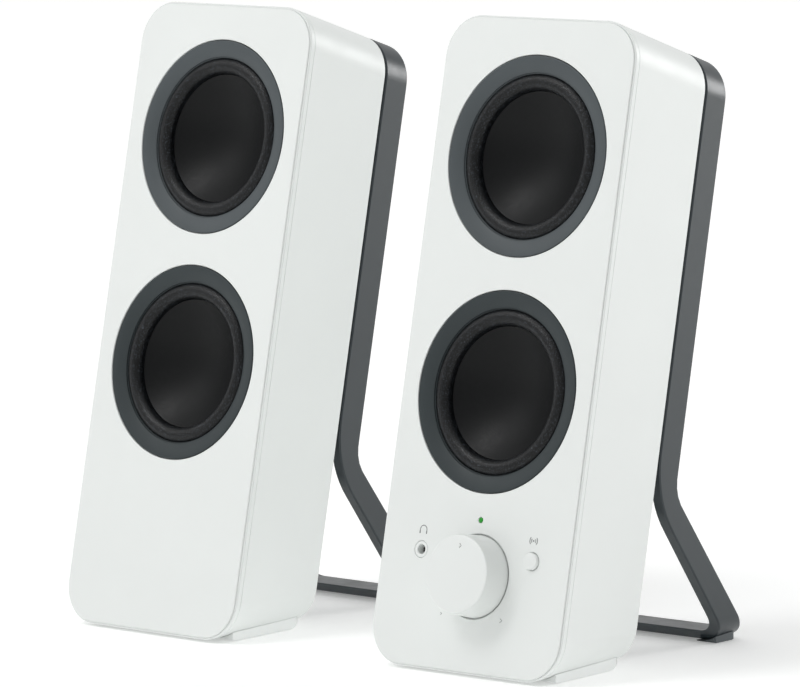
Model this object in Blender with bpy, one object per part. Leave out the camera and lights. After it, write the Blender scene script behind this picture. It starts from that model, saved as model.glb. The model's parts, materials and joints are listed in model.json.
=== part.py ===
"""Pair of leaning two-driver desktop speakers on loop stands, modelled in metres, +Z up.

The active speaker is on the right (+X) and carries the controls; the left one is driven by it.
Each cabinet is drawn upright in its own frame (x across, y into the depth, z up along its front)
and an empty leans that frame back. The stand and the feet are drawn level, on the desk.
"""
import bpy
import bmesh
from math import cos, pi, radians, sin, sqrt, tan
from mathutils import Matrix, Vector

# ---- driving dimensions: the pair ----
right_place = (0.07884, -0.06075)
left_place = (-0.07896, -0.06325)
left_turn = radians(-1.5)
lean = radians(12.45)
front_lift = 0.0009             # bottom edge of the front above the desk

# ---- cabinet ----
body_width = 0.0920
body_height = 0.2440            # along the leaning front
cabinet_depth = 0.0481
draft = tan(radians(5.0))       # sides and top narrow towards the back
bottom_rise = tan(radians(13.6))  # underside climbs in the leaning frame, so it clears the desk
corner_radius = 0.0156
low_corner_taper = 0.054        # lower corners tighten towards the back
wall = 0.0024
gap = 0.0003                    # clearance between neighbouring pieces
fascia_thickness = 0.0020
rim_setback = 0.0005            # baffle rim behind the fascia's face
rim_thickness = 0.0008
seam_depth = 0.0029             # where the shell meets the baffle
baffle_back = 0.0062
panel_half_width = 0.0260       # opening for the rear connector panel
panel_low = 0.0240
panel_high = 0.0840
panel_thickness = 0.0021
screw_place = (0.0, 0.1900)     # holds the stand to the shell

# ---- drivers ----
driver_height = 0.1923          # upper driver, along the front
radiator_height = 0.1046        # lower passive radiator
bezel_radius = 0.0375
bezel_bore = 0.0305
bezel_dish = 0.0011             # ring face falls this far towards its bore
bezel_skirt = 0.0030
opening_radius = 0.0352
frame_radius = 0.0349
flange = 0.0048                 # front face of the driver frames
flange_back = 0.0061
surround_land = 0.0040
surround_thickness = 0.0005
roll_middle = 0.0275
roll_radius = 0.0026
surround_lip = 0.0242
surround_edge = 0.0316
cone_radius = 0.0249
cone_edge = 0.0048
cone_sag = 0.0082
cone_thickness = 0.0006

# ---- controls ----
knob_place = (0.0014, 0.0362)
knob_radius = 0.0153
knob_face_radius = 0.0146
knob_reach = 0.0111             # face ahead of the front panel
shaft_radius = 0.0030
led_place = (0.0004, 0.0570)
jack_place = (-0.0265, 0.0438)
jack_bore = 0.00185
button_place = (0.0272, 0.0441)
button_radius = 0.0032
button_reach = 0.0012
button_travel = 0.0007
board_front = 0.0115
board_thickness = 0.0016
component_back = board_front - gap
shoulder_front = baffle_back + 0.0004  # flanges that stop behind the baffle

# ---- rear sockets: places as (x, z) on the panel, barrels as radii ----
panel_inner = cabinet_depth - 0.0024
audio_barrel = 0.0031
speaker_barrel = 0.0043
power_barrel = 0.0050
audio_input_places = [(-0.0140, 0.0660), (0.0000, 0.0660)]
speaker_socket_place = (0.0140, 0.0640)
power_place = (0.0, 0.0400)

# ---- stand and feet, level on the desk ----
stand_wall = 0.0048
stand_front_depth = 0.0487      # depth of the loop's front face behind the front panel
stand_rear_depth = 0.0621
foot_front = 0.1133             # where the lower legs' front face meets the desk
foot_rear = 0.1280
leg_front_slope = 0.800         # run over rise of the lower legs, front and rear faces
leg_rear_slope = 0.825
front_bend_radius = 0.036
rear_bend_radius = 0.013
bend_top = 0.0940               # height where the loop straightens along the cabinet
crossbar_height = 0.0038
crossbar_lift = 0.0006
low_corner_reach = 0.0125       # outer corner at the desk, across and up
low_corner_rise = 0.0105
web_bottom = 0.1020
web_thickness = 0.0025
pad_outer = 0.0310
pad_end = foot_rear - 0.0062
strip_front = 0.0096
strip_rear = 0.0456
strip_outer = 0.0373
strip_narrowing = 0.0015

# red, green, blue, roughness, metallic
colours = {
    "white_plastic": (0.80, 0.82, 0.81, 0.42, 0.0),
    "grey_plastic": (0.10, 0.115, 0.12, 0.45, 0.0),
    "black_rubber": (0.030, 0.030, 0.031, 0.60, 0.0),
    "black_cone": (0.016, 0.017, 0.018, 0.55, 0.0),
    "foot_rubber": (0.72, 0.74, 0.73, 0.60, 0.0),
    "pad_rubber": (0.09, 0.10, 0.105, 0.65, 0.0),
    "steel": (0.45, 0.45, 0.46, 0.40, 1.0),
    "ferrite": (0.05, 0.05, 0.055, 0.70, 0.0),
    "copper": (0.55, 0.27, 0.12, 0.40, 1.0),
    "spider_cloth": (0.62, 0.47, 0.22, 0.80, 0.0),
    "circuit_board": (0.03, 0.17, 0.08, 0.50, 0.0),
    "black_plastic": (0.03, 0.03, 0.032, 0.50, 0.0),
    "green_lens": (0.05, 0.55, 0.08, 0.20, 0.0),
    "zinc": (0.60, 0.60, 0.62, 0.35, 1.0),
}


# ---- scene and object helpers ----
def clear_scene():
    for old in list(bpy.data.objects):
        bpy.data.objects.remove(old, do_unlink=True)


def material_named(name):
    """The material of that name, made on first use."""
    found = bpy.data.materials.get(name)
    if found:
        return found
    red, green, blue, roughness, metallic = colours[name]
    material = bpy.data.materials.new(name)
    material.use_nodes = True
    shader = material.node_tree.nodes["Principled BSDF"]
    shader.inputs["Base Color"].default_value = (red, green, blue, 1.0)
    shader.inputs["Roughness"].default_value = roughness
    shader.inputs["Metallic"].default_value = metallic
    return material


def add_object(name, bm, parent, material, at=(0.0, 0.0, 0.0)):
    """Turn the bmesh into a smooth-shaded object under parent, faces pointing out."""
    bmesh.ops.recalc_face_normals(bm, faces=bm.faces)
    mesh = bpy.data.meshes.new(name)
    bm.to_mesh(mesh)
    bm.free()
    mesh.shade_smooth()
    mesh.set_sharp_from_angle(angle=radians(35))
    mesh.materials.append(material_named(material))
    thing = bpy.data.objects.new(name, mesh)
    bpy.context.scene.collection.objects.link(thing)
    thing.parent = parent
    thing.location = at
    return thing


def add_tool(name, bm, parent):
    """Hidden, flat-shaded solid that cuts or joins another piece."""
    bmesh.ops.recalc_face_normals(bm, faces=bm.faces)
    mesh = bpy.data.meshes.new(name)
    bm.to_mesh(mesh)
    bm.free()
    tool = bpy.data.objects.new(name, mesh)
    bpy.context.scene.collection.objects.link(tool)
    tool.parent = parent
    tool.hide_render = True
    tool.display_type = "WIRE"
    return tool


def add_empty(name, parent=None, at=(0.0, 0.0, 0.0), turn=(0.0, 0.0, 0.0)):
    empty = bpy.data.objects.new(name, None)
    bpy.context.scene.collection.objects.link(empty)
    empty.parent = parent
    empty.location = at
    empty.rotation_euler = turn
    return empty


def combine(thing, tool, operation="DIFFERENCE"):
    modifier = thing.modifiers.new(tool.name, "BOOLEAN")
    modifier.operation = operation
    modifier.solver = "EXACT"
    modifier.object = tool


# ---- shape builders, in a leaning frame: x across, y depth, z up ----
def loft(sections, closed=False):
    """Skin equal-length rings of points; closed joins the last ring to the first, else both ends are capped."""
    bm = bmesh.new()
    rings = [[bm.verts.new(point) for point in section] for section in sections]
    count = len(rings[0])
    pairs = list(zip(rings, rings[1:]))
    if closed:
        pairs.append((rings[-1], rings[0]))
    for first, second in pairs:
        for i in range(count):
            j = (i + 1) % count
            bm.faces.new((first[i], first[j], second[j], second[i]))
    if not closed:
        bm.faces.new(rings[0])
        bm.faces.new(list(reversed(rings[-1])))
    return bm


def turned(profile, steps, closed=False):
    """Spin (radius, depth) points about the y axis; closed also spins the edge from last point to first."""
    bm = bmesh.new()
    points = [bm.verts.new((radius, depth, 0.0)) for radius, depth in profile]
    edges = [bm.edges.new(pair) for pair in zip(points, points[1:])]
    if closed:
        edges.append(bm.edges.new((points[-1], points[0])))
    bmesh.ops.spin(bm, geom=points + edges, cent=(0, 0, 0), axis=(0, 1, 0), angle=2 * pi,
                   steps=steps, use_merge=True, use_duplicate=False)
    bmesh.ops.remove_doubles(bm, verts=bm.verts, dist=0.00001)
    return bm


def arc(centre, radius, start, end, steps):
    """Points on an arc from start to end, in degrees."""
    angles = [radians(start + (end - start) * i / steps) for i in range(steps + 1)]
    return [(centre[0] + radius * cos(a), centre[1] + radius * sin(a)) for a in angles]


def rounded_outline(half_width, low, high, radius, low_radius, steps=4):
    """Rounded rectangle as (x, z), counter-clockwise from the lower right corner."""
    points = arc((half_width - low_radius, low + low_radius), low_radius, -90, 0, steps)
    points += arc((half_width - radius, high - radius), radius, 0, 90, steps)
    points += arc((radius - half_width, high - radius), radius, 90, 180, steps)
    points += arc((low_radius - half_width, low + low_radius), low_radius, 180, 270, steps)
    return points


def low_corner(depth):
    return corner_radius - low_corner_taper * depth


def cabinet_section(depth, inset=0.0):
    """Ring of the cabinet's drafted outline at one depth, moved inwards by inset."""
    narrowing = draft * depth
    ring = rounded_outline(body_width / 2 - narrowing - inset, bottom_rise * depth + inset,
                           body_height - narrowing - inset, corner_radius - inset,
                           low_corner(depth) - inset)
    return [(x, depth, z) for x, z in ring]


def plate_section(half_width, low, high, radius, depth):
    return [(x, depth, z) for x, z in rounded_outline(half_width, low, high, radius, radius, 3)]


def plate(half_width, low, high, radius, front, back):
    return loft([plate_section(half_width, low, high, radius, depth) for depth in (front, back)])


def drill(name, holes, start, end, parent, steps):
    """Cutter of round plugs (x, z, radius) from depth start to end."""
    bm = bmesh.new()
    for x, z, radius in holes:
        plug = turned([(0.0, start), (radius, start), (radius, end), (0.0, end)], steps)
        mesh = bpy.data.meshes.new(name)
        plug.to_mesh(mesh)
        plug.free()
        mesh.transform(Matrix.Translation((x, 0.0, z)))
        bm.from_mesh(mesh)
        bpy.data.meshes.remove(mesh)
    return add_tool(name, bm, parent)


def cylinder_profile(radius, front, back):
    return [(0.0, front), (radius, front), (radius, back), (0.0, back)]


def tube_profile(inner, outer, front, back):
    return [(inner, front), (outer, front), (outer, back), (inner, back)]


# ---- cabinet pieces ----
def control_holes():
    return [knob_place + (0.0048,), led_place + (0.0013,), jack_place + (0.0034,), button_place + (0.0035,)]


def make_fascia(side, frame, controls):
    """Flat front plate, set into the baffle's rim."""
    edge = rim_thickness + gap
    chamfer = 0.0004
    fascia = add_object("fascia_" + side, loft([
        cabinet_section(0.0, edge + chamfer),
        cabinet_section(chamfer, edge),
        cabinet_section(fascia_thickness, edge),
    ]), frame, "white_plastic")
    ahead, behind = -0.0010, 0.0030
    holes = [(0.0, height, bezel_radius + gap) for height in (driver_height, radiator_height)]
    combine(fascia, drill("bezel_holes_" + side, holes, ahead, behind, frame, 32))
    if controls:
        recess = [knob_place + (knob_radius + 0.0005,)]
        combine(fascia, drill("knob_recess", recess, ahead, 0.0012, frame, 32))
        combine(fascia, drill("control_holes", control_holes(), ahead, behind, frame, 16))


def make_baffle(side, frame, controls):
    """Structural front with a shallow tray for the fascia, a visible rim and a spigot into the shell."""
    spigot = wall + gap
    round_over = 0.0003
    baffle = add_object("front_baffle_" + side, loft([
        cabinet_section(fascia_thickness + gap, rim_thickness),
        cabinet_section(rim_setback, rim_thickness),
        cabinet_section(rim_setback, round_over),
        cabinet_section(rim_setback + round_over, 0.0),
        cabinet_section(seam_depth - gap, 0.0),
        cabinet_section(seam_depth - gap, spigot),
        cabinet_section(baffle_back, spigot),
    ]), frame, "white_plastic")
    start, end = 0.0, baffle_back + 0.0020
    holes = [(0.0, height, opening_radius) for height in (driver_height, radiator_height)]
    combine(baffle, drill("driver_openings_" + side, holes, start, end, frame, 32))
    if controls:
        combine(baffle, drill("baffle_control_holes", control_holes(), start, end, frame, 16))


def make_shell(side, frame):
    """Tapered case behind the baffle, with a rear opening for the connector panel."""
    chamfer = 0.0004
    shell = add_object("cabinet_shell_" + side, loft([
        cabinet_section(cabinet_depth - wall, wall),
        cabinet_section(seam_depth, wall),
        cabinet_section(seam_depth, 0.0),
        cabinet_section(cabinet_depth - chamfer, 0.0),
        cabinet_section(cabinet_depth, chamfer),
    ]), frame, "white_plastic")
    front, back = cabinet_depth - 0.0060, cabinet_depth + 0.0040
    opening = plate(panel_half_width, panel_low, panel_high, 0.0030, front, back)
    combine(shell, add_tool("rear_opening_" + side, opening, frame))
    combine(shell, drill("stand_screw_hole_" + side, [screw_place + (0.0022,)], front, back, frame, 16))


def make_rear_panel(side, frame, sockets):
    panel = add_object("rear_panel_" + side, plate(
        panel_half_width - gap, panel_low + gap, panel_high - gap, 0.0027,
        cabinet_depth - panel_thickness, cabinet_depth), frame, "grey_plastic")
    holes = [(x, z, barrel + gap) for x, z, barrel in sockets]
    cut = drill("socket_holes_" + side, holes, cabinet_depth - 0.0060, cabinet_depth + 0.0040, frame, 16)
    combine(panel, cut)


# ---- drivers: profiles are (radius, depth behind the front panel) ----
bezel_profile = [(bezel_radius, 0.0), (bezel_radius, fascia_thickness), (bezel_bore + 0.0012, fascia_thickness),
                 (bezel_bore + 0.0008, bezel_skirt), (bezel_bore, bezel_skirt),
                 (bezel_bore, bezel_dish + 0.0004), (bezel_bore + 0.0004, bezel_dish)]
basket_profile = [(frame_radius, flange), (frame_radius, flange_back), (0.0314, flange_back), (0.0309, 0.0105),
                  (0.0244, 0.0195), (0.0220, 0.0225), (0.0133, 0.0225), (0.0133, 0.0213), (0.0212, 0.0213),
                  (0.0232, 0.0191), (0.0296, 0.0103), (0.0299, flange)]
ring_profile = [(frame_radius, flange), (frame_radius, flange_back), (0.0318, flange_back), (0.0318, 0.0105),
                (0.0299, 0.0105), (0.0299, flange)]
yoke_profile = [(0.0, 0.0205), (0.0117, 0.0205), (0.0117, 0.0305), (0.0215, 0.0305), (0.0215, 0.0335),
                (0.0, 0.0335)]
magnet_profile = tube_profile(0.0150, 0.0225, 0.0228, 0.0302)
coil_profile = tube_profile(0.0122, 0.0127, 0.0120, 0.0260)
spider_profile = tube_profile(0.0130, 0.0232, 0.0181, 0.0186)
weight_profile = cylinder_profile(0.0090, 0.0141, 0.0175)


def cone_depth(radius):
    return cone_edge + cone_sag * (1 - (radius / cone_radius) ** 2)


def cone_profile():
    """Concave dish with no dust cap."""
    rings = 4
    radii = [cone_radius * i / rings for i in range(rings + 1)]
    front = [(r, cone_depth(r)) for r in radii]
    back = [(r, cone_depth(r) + cone_thickness) for r in reversed(radii)]
    return front + back


def surround_profile():
    """Half-roll between two flat lands."""
    land_back = surround_land + surround_thickness
    outer = arc((roll_middle, surround_land), roll_radius, 0, -180, 6)
    inner = arc((roll_middle, land_back), roll_radius - surround_thickness, -180, 0, 5)
    return ([(surround_edge, surround_land)] + outer + [(surround_lip, surround_land), (surround_lip, land_back)]
            + inner + [(surround_edge, land_back)])


def make_driver(side, frame):
    """Active driver; the coil rides in the gap between the magnet's bore and the yoke's pole."""
    at = (0.0, 0.0, driver_height)
    tag = "_" + side
    add_object("upper_bezel" + tag, turned(bezel_profile, 32, True), frame, "grey_plastic", at)
    add_object("driver_basket" + tag, turned(basket_profile, 24, True), frame, "black_plastic", at)
    add_object("driver_surround" + tag, turned(surround_profile(), 24, True), frame, "black_rubber", at)
    add_object("driver_cone" + tag, turned(cone_profile(), 24), frame, "black_cone", at)
    add_object("voice_coil" + tag, turned(coil_profile, 20, True), frame, "copper", at)
    add_object("driver_spider" + tag, turned(spider_profile, 20, True), frame, "spider_cloth", at)
    add_object("driver_magnet" + tag, turned(magnet_profile, 20, True), frame, "ferrite", at)
    add_object("driver_yoke" + tag, turned(yoke_profile, 20), frame, "steel", at)


def make_radiator(side, frame):
    """Passive radiator; a steel weight behind the cone tunes it."""
    at = (0.0, 0.0, radiator_height)
    tag = "_" + side
    add_object("lower_bezel" + tag, turned(bezel_profile, 32, True), frame, "grey_plastic", at)
    add_object("radiator_frame" + tag, turned(ring_profile, 24, True), frame, "black_plastic", at)
    add_object("radiator_surround" + tag, turned(surround_profile(), 24, True), frame, "black_rubber", at)
    add_object("radiator_cone" + tag, turned(cone_profile(), 24), frame, "black_cone", at)
    add_object("radiator_weight" + tag, turned(weight_profile, 16), frame, "steel", at)


# ---- controls, on the right speaker only ----
def make_controls(frame):
    knob_at = (knob_place[0], 0.0, knob_place[1])
    socket_end = -0.0064
    hub = shaft_radius + 0.0004
    rear = 0.0007
    knob = [(0.0, -knob_reach), (knob_face_radius - 0.0008, -knob_reach),
            (knob_face_radius - 0.0002, 0.0003 - knob_reach), (knob_face_radius, 0.0008 - knob_reach),
            (knob_radius, 0.0004), (knob_radius - 0.0003, rear), (hub, rear), (hub, socket_end),
            (0.0, socket_end)]
    add_object("volume_knob", turned(knob, 32), frame, "white_plastic", knob_at)

    shaft_end = component_back - 0.0008
    shaft = cylinder_profile(shaft_radius, socket_end + 0.0004, shaft_end)
    add_object("volume_shaft", turned(shaft, 16), frame, "zinc", knob_at)

    pot = [(0.0, shaft_end + 0.0004), (hub, shaft_end + 0.0004), (hub, 0.0015), (0.0045, 0.0015),
           (0.0045, shoulder_front), (0.0085, shoulder_front), (0.0085, component_back), (0.0, component_back)]
    add_object("volume_potentiometer", turned(pot, 16), frame, "steel", knob_at)

    led = [(0.0, -0.0002), (0.0006, -0.0001), (0.0010, 0.0002), (0.0010, component_back), (0.0, component_back)]
    add_object("power_led", turned(led, 12), frame, "green_lens", (led_place[0], 0.0, led_place[1]))

    barrel, body = 0.0031, 0.0040
    jack_floor = component_back - 0.0008
    jack = [(0.0, jack_floor), (jack_bore, jack_floor), (jack_bore, 0.0), (barrel, 0.0), (barrel, shoulder_front),
            (body, shoulder_front), (body, component_back), (0.0, component_back)]
    add_object("headphone_jack", turned(jack, 20), frame, "white_plastic", (jack_place[0], 0.0, jack_place[1]))

    button_at = (button_place[0], 0.0, button_place[1])
    flange_end = shoulder_front + 0.0007
    button = [(0.0, -button_reach), (button_radius - 0.0006, -button_reach), (button_radius, 0.0006 - button_reach),
              (button_radius, shoulder_front), (0.0042, shoulder_front), (0.0042, flange_end), (0.0, flange_end)]
    add_object("pairing_button", turned(button, 20), frame, "white_plastic", button_at)

    plunger = flange_end + button_travel + gap
    switch = [(0.0, plunger), (0.0017, plunger), (0.0017, plunger + 0.0009), (0.0036, plunger + 0.0009),
              (0.0036, component_back), (0.0, component_back)]
    add_object("pairing_switch", turned(switch, 12), frame, "black_plastic", button_at)

    board = plate(0.0350, 0.0240, 0.0610, 0.0020, board_front, board_front + board_thickness)
    add_object("control_board", board, frame, "circuit_board")


# ---- rear sockets ----
def socket_profile(barrel, bore, shoulder, outer_end, bore_end):
    """Barrel through the panel with a blind bore from the rear and a shoulder behind the panel."""
    inner_end = panel_inner - 0.0085
    return [(0.0, inner_end), (shoulder, inner_end), (shoulder, panel_inner), (barrel, panel_inner),
            (barrel, outer_end), (bore, outer_end), (bore, bore_end), (0.0, bore_end)]


def speaker_socket(name, place, frame):
    profile = socket_profile(speaker_barrel, 0.0016, 0.0055, cabinet_depth + 0.0050, 0.0460)
    add_object(name, turned(profile, 16), frame, "zinc", (place[0], 0.0, place[1]))


def make_right_sockets(frame):
    bore_end = 0.0400
    for number, (x, z) in enumerate(audio_input_places, 1):
        profile = socket_profile(audio_barrel, jack_bore, 0.0042, cabinet_depth + 0.0009, bore_end)
        add_object("audio_input_%d" % number, turned(profile, 16), frame, "black_plastic", (x, 0.0, z))
    speaker_socket("speaker_output", speaker_socket_place, frame)

    pin_radius, pin_end = 0.0010, cabinet_depth - 0.0010
    profile = socket_profile(power_barrel, 0.0031, 0.0062, cabinet_depth + 0.0006, bore_end)
    profile[-1:] = [(pin_radius, bore_end), (pin_radius, pin_end), (0.0, pin_end)]
    add_object("power_inlet", turned(profile, 16), frame, "black_plastic", (power_place[0], 0.0, power_place[1]))

    front = 0.0330
    board = plate(0.0240, 0.0240, 0.0840, 0.0020, front, front + board_thickness)
    add_object("amplifier_board", board, frame, "circuit_board")


# ---- stand and feet, drawn level on the desk ----
def level(x, depth, height):
    """Point of the leaning frame, seen level."""
    return Vector((x, height * sin(lean) + depth * cos(lean),
                   front_lift + height * cos(lean) - depth * sin(lean)))


def leaning_depth(y, z):
    """Depth behind the front panel of a level point."""
    return y * cos(lean) - (z - front_lift) * sin(lean)


def bent_profile(depth, foot, slope, bend_radius, steps):
    """Side view of one stand face: up from the desk along the leg, round the bend, up the cabinet's back."""
    top = level(0.0, depth, body_height - draft * depth)
    rise = tan(lean)
    base_y = top.y - top.z * rise
    corner_z = (foot - base_y) / (rise + slope)
    corner = Vector((base_y + corner_z * rise, corner_z))
    up = Vector((sin(lean), cos(lean)))
    down = Vector((slope, -1.0)).normalized()
    half_turn = (pi - up.angle(down)) / 2
    start = corner + down * (bend_radius * tan(half_turn))
    centre = corner + (up + down).normalized() * (bend_radius / cos(half_turn))
    first = start - centre
    turn = -2 * half_turn if first.cross(up) < 0 else 2 * half_turn
    points = [Vector((foot, 0.0)), start]
    for i in range(1, steps + 1):
        spun = first.copy()
        spun.rotate(Matrix.Rotation(turn * i / steps, 2))
        points.append(centre + spun)
    points.append(Vector((top.y, top.z)))
    return points


def y_at(profile, z):
    for low, high in zip(profile, profile[1:]):
        if z <= high.y:
            break
    return low.x + (high.x - low.x) * (z - low.y) / (high.y - low.y)


def loop_outline(inset, floor, rise, ceiling):
    """(x at the front panel's width, height) from the crossbar's middle up the right side to the top's middle."""
    bend_heights = [0.024, 0.036, 0.046, 0.053, 0.059, 0.065, 0.071, 0.077, 0.084, bend_top, 0.130, 0.175]
    edge = body_width / 2 - inset
    reach = low_corner_reach - inset
    radius = corner_radius - inset
    points = [(0.0, floor)]
    points += [(edge - reach + reach * sin(a), floor + rise * (1 - cos(a)))
               for a in [radians(15 * i) for i in range(7)]]
    points += [(edge, z) for z in bend_heights]
    points += arc((edge - radius, ceiling - radius), radius, 0, 90, 5)
    points.append((0.0, ceiling))
    return points


def make_stand(side, base, frame):
    """One loop: round the cabinet's back above, bent back into two legs and a crossbar below."""
    front = bent_profile(stand_front_depth, foot_front, leg_front_slope, front_bend_radius, 7)
    rear = bent_profile(stand_rear_depth, foot_rear, leg_rear_slope, rear_bend_radius, 5)
    top = front[-1].y
    top_drop = top - rear[-1].y

    def place(point, profile, drop):
        x, z = point
        share = max(0.0, (z - bend_top) / (top - bend_top))
        height = z - drop * share
        y = y_at(profile, height)
        return Vector((max(0.0, x - draft * leaning_depth(y, height)), y, height))

    outer_loop = loop_outline(0.0, crossbar_lift, low_corner_rise, top)
    inner_loop = loop_outline(stand_wall, crossbar_lift + crossbar_height, low_corner_rise - crossbar_height,
                              top - stand_wall)
    sections = [[place(outer, front, 0.0), place(outer, rear, top_drop),
                 place(inner, rear, top_drop), place(inner, front, 0.0)]
                for outer, inner in zip(outer_loop, inner_loop)]
    mirrored = [[Vector((-p.x, p.y, p.z)) for p in section] for section in reversed(sections[1:-1])]
    stand = add_object("stand_" + side, loft(sections + mirrored, closed=True), base, "grey_plastic")

    middle = stand_wall / 2
    web_front = stand_front_depth + gap
    web_back = web_front + web_thickness
    outline = rounded_outline(body_width / 2 - draft * stand_front_depth - middle, web_bottom,
                              body_height - draft * stand_front_depth - middle, corner_radius - middle, 0.0040)
    web = loft([[level(x, depth, z) for x, z in outline] for depth in (web_front, web_back)])
    combine(stand, add_tool("stand_web_" + side, web, base), "UNION")
    hole = drill("web_hole_" + side, [screw_place + (0.0023,)], web_front - 0.0030, web_back + 0.0040, frame, 16)
    combine(stand, hole)

    head_front, head_back = web_back + gap, web_back + 0.0028
    screw = [(0.0, cabinet_depth - 0.0016), (0.0019, cabinet_depth - 0.0016), (0.0019, head_front),
             (0.0040, head_front), (0.0040, head_back - 0.0009), (0.0030, head_back), (0.0, head_back)]
    add_object("stand_screw_" + side, turned(screw, 16), frame, "steel", (screw_place[0], 0.0, screw_place[1]))
    make_pads(side, base)


def loop_underside(x, y):
    """Height of the loop's underside above the desk at a level point near its rounded lower corner."""
    over = max(0.0, x + draft * leaning_depth(y, 0.002) - (body_width / 2 - low_corner_reach))
    return crossbar_lift + low_corner_rise * (1 - sqrt(1 - (over / low_corner_reach) ** 2))


def strip(outer, insets, y, lift, sign, ceiling):
    """Ring across a foot at one level y: flat below, its top following the piece above."""
    clear = 0.0005
    xs = [outer - inset for inset in insets]
    ring = [(xs[-1], lift), (xs[0], lift)]
    ring += [(x, max(ceiling(x, y) - clear, lift + 0.0002)) for x in xs]
    return [(sign * x, y, z) for x, z in ring]


def make_pads(side, base):
    """Rubber pads under the two rear corners, their tops following the loop's rounded corner."""
    start = foot_front + 0.0004
    stations = ((start, 0.0002), (start + 0.0006, 0.0), (pad_end - 0.0015, 0.0), (pad_end, 0.0001))
    insets = (0.0, 0.0015, 0.0035, 0.0060, 0.0090)
    for name, sign in (("left", -1), ("right", 1)):
        pad = loft([strip(pad_outer, insets, y, lift, sign, loop_underside) for y, lift in stations])
        add_object("rear_pad_%s_%s" % (side, name), pad, base, "pad_rubber")


def underside(x, y):
    """Height of the cabinet's underside above the desk at a level point."""
    depth = y / cos(lean)
    radius = low_corner(depth)
    over = max(0.0, x - (body_width / 2 - draft * depth - radius))
    height = bottom_rise * depth + radius - sqrt(radius ** 2 - over ** 2)
    depth = (y - height * sin(lean)) / cos(lean)
    return level(0.0, depth, height + bottom_rise * (depth - y / cos(lean))).z


def make_foot_strips(side, base):
    """Long strips under the cabinet's side edges, their tops following its underside."""
    stations = ((strip_front, 0.0004), (strip_front + 0.0006, 0.0), (strip_rear - 0.0022, 0.0),
                (strip_rear - 0.0006, 0.0007), (strip_rear, 0.0020))
    insets = (0.0, 0.0012, 0.0026, 0.0042, 0.0060)
    for name, sign in (("left", -1), ("right", 1)):
        sections = []
        for y, lift in stations:
            outer = strip_outer - strip_narrowing * (y - strip_front) / (strip_rear - strip_front)
            sections.append(strip(outer, insets, y, lift, sign, underside))
        add_object("foot_strip_%s_%s" % (side, name), loft(sections), base, "foot_rubber")


# ---- the pair ----
def make_speaker(side, place, turn, controls):
    base = add_empty(side + "_base", at=(place[0], place[1], 0.0), turn=(0.0, 0.0, turn))
    frame = add_empty(side + "_lean", base, (0.0, 0.0, front_lift), (-lean, 0.0, 0.0))
    make_fascia(side, frame, controls)
    make_baffle(side, frame, controls)
    make_shell(side, frame)
    make_driver(side, frame)
    make_radiator(side, frame)
    if controls:
        sockets = [spot + (audio_barrel,) for spot in audio_input_places]
        sockets += [speaker_socket_place + (speaker_barrel,), power_place + (power_barrel,)]
        make_controls(frame)
        make_right_sockets(frame)
    else:
        sockets = [power_place + (speaker_barrel,)]
        speaker_socket("speaker_input", power_place, frame)
    make_rear_panel(side, frame, sockets)
    make_stand(side, base, frame)
    make_foot_strips(side, base)


clear_scene()
make_speaker("right", right_place, 0.0, True)
make_speaker("left", left_place, left_turn, False)
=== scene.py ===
import json
from math import acos, asin, atan2, cos, pi, radians, sin, sqrt, tan
import bpy
import bmesh
from mathutils import Matrix, Vector


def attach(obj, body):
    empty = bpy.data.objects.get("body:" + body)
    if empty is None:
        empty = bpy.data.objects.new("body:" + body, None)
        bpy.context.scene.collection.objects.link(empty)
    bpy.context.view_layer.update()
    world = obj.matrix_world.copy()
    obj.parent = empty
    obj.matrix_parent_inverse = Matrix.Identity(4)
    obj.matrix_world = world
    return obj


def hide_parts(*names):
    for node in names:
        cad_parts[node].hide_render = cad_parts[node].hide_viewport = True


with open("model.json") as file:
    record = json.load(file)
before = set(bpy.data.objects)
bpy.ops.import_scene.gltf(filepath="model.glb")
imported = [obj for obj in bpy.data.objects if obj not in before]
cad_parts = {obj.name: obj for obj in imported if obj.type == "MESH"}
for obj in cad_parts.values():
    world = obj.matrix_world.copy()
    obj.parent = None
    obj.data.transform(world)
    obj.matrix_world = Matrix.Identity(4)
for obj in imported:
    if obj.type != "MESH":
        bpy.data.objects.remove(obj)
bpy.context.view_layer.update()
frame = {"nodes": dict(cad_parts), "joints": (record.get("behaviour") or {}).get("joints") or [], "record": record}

joints = {joint["name"]: joint for joint in frame["joints"]}


def facing(side):  # the way a front faces is the way its cone moves
    return Vector(joints["driver_cone_travel_" + side]["axis"])


pair = {
    "sides": ("right", "left"),
    "places": {"right": (0.07884, -0.06075), "left": (-0.07896, -0.06325)},  # lowest front edge, on the desk
    "frontLift": 0.0009,
}
lean = asin(facing("right").z)


def standingFrame(side):  # level on the desk: x across, y back, z up
    out = facing(side)
    return Matrix.Translation((*pair["places"][side], 0.0)) @ Matrix.Rotation(atan2(out.x, -out.y), 4, "Z")


def leaningFrame(side):  # along the front: x across, y into the cabinet, z up the front
    lift = Matrix.Translation((0.0, 0.0, pair["frontLift"]))
    return standingFrame(side) @ lift @ Matrix.Rotation(-lean, 4, "X")


def arcPoints(centre, radius, start, end, steps):
    angles = [radians(start + (end - start) * i / steps) for i in range(steps + 1)]
    return [(centre[0] + radius * cos(a), centre[1] + radius * sin(a)) for a in angles]


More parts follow.
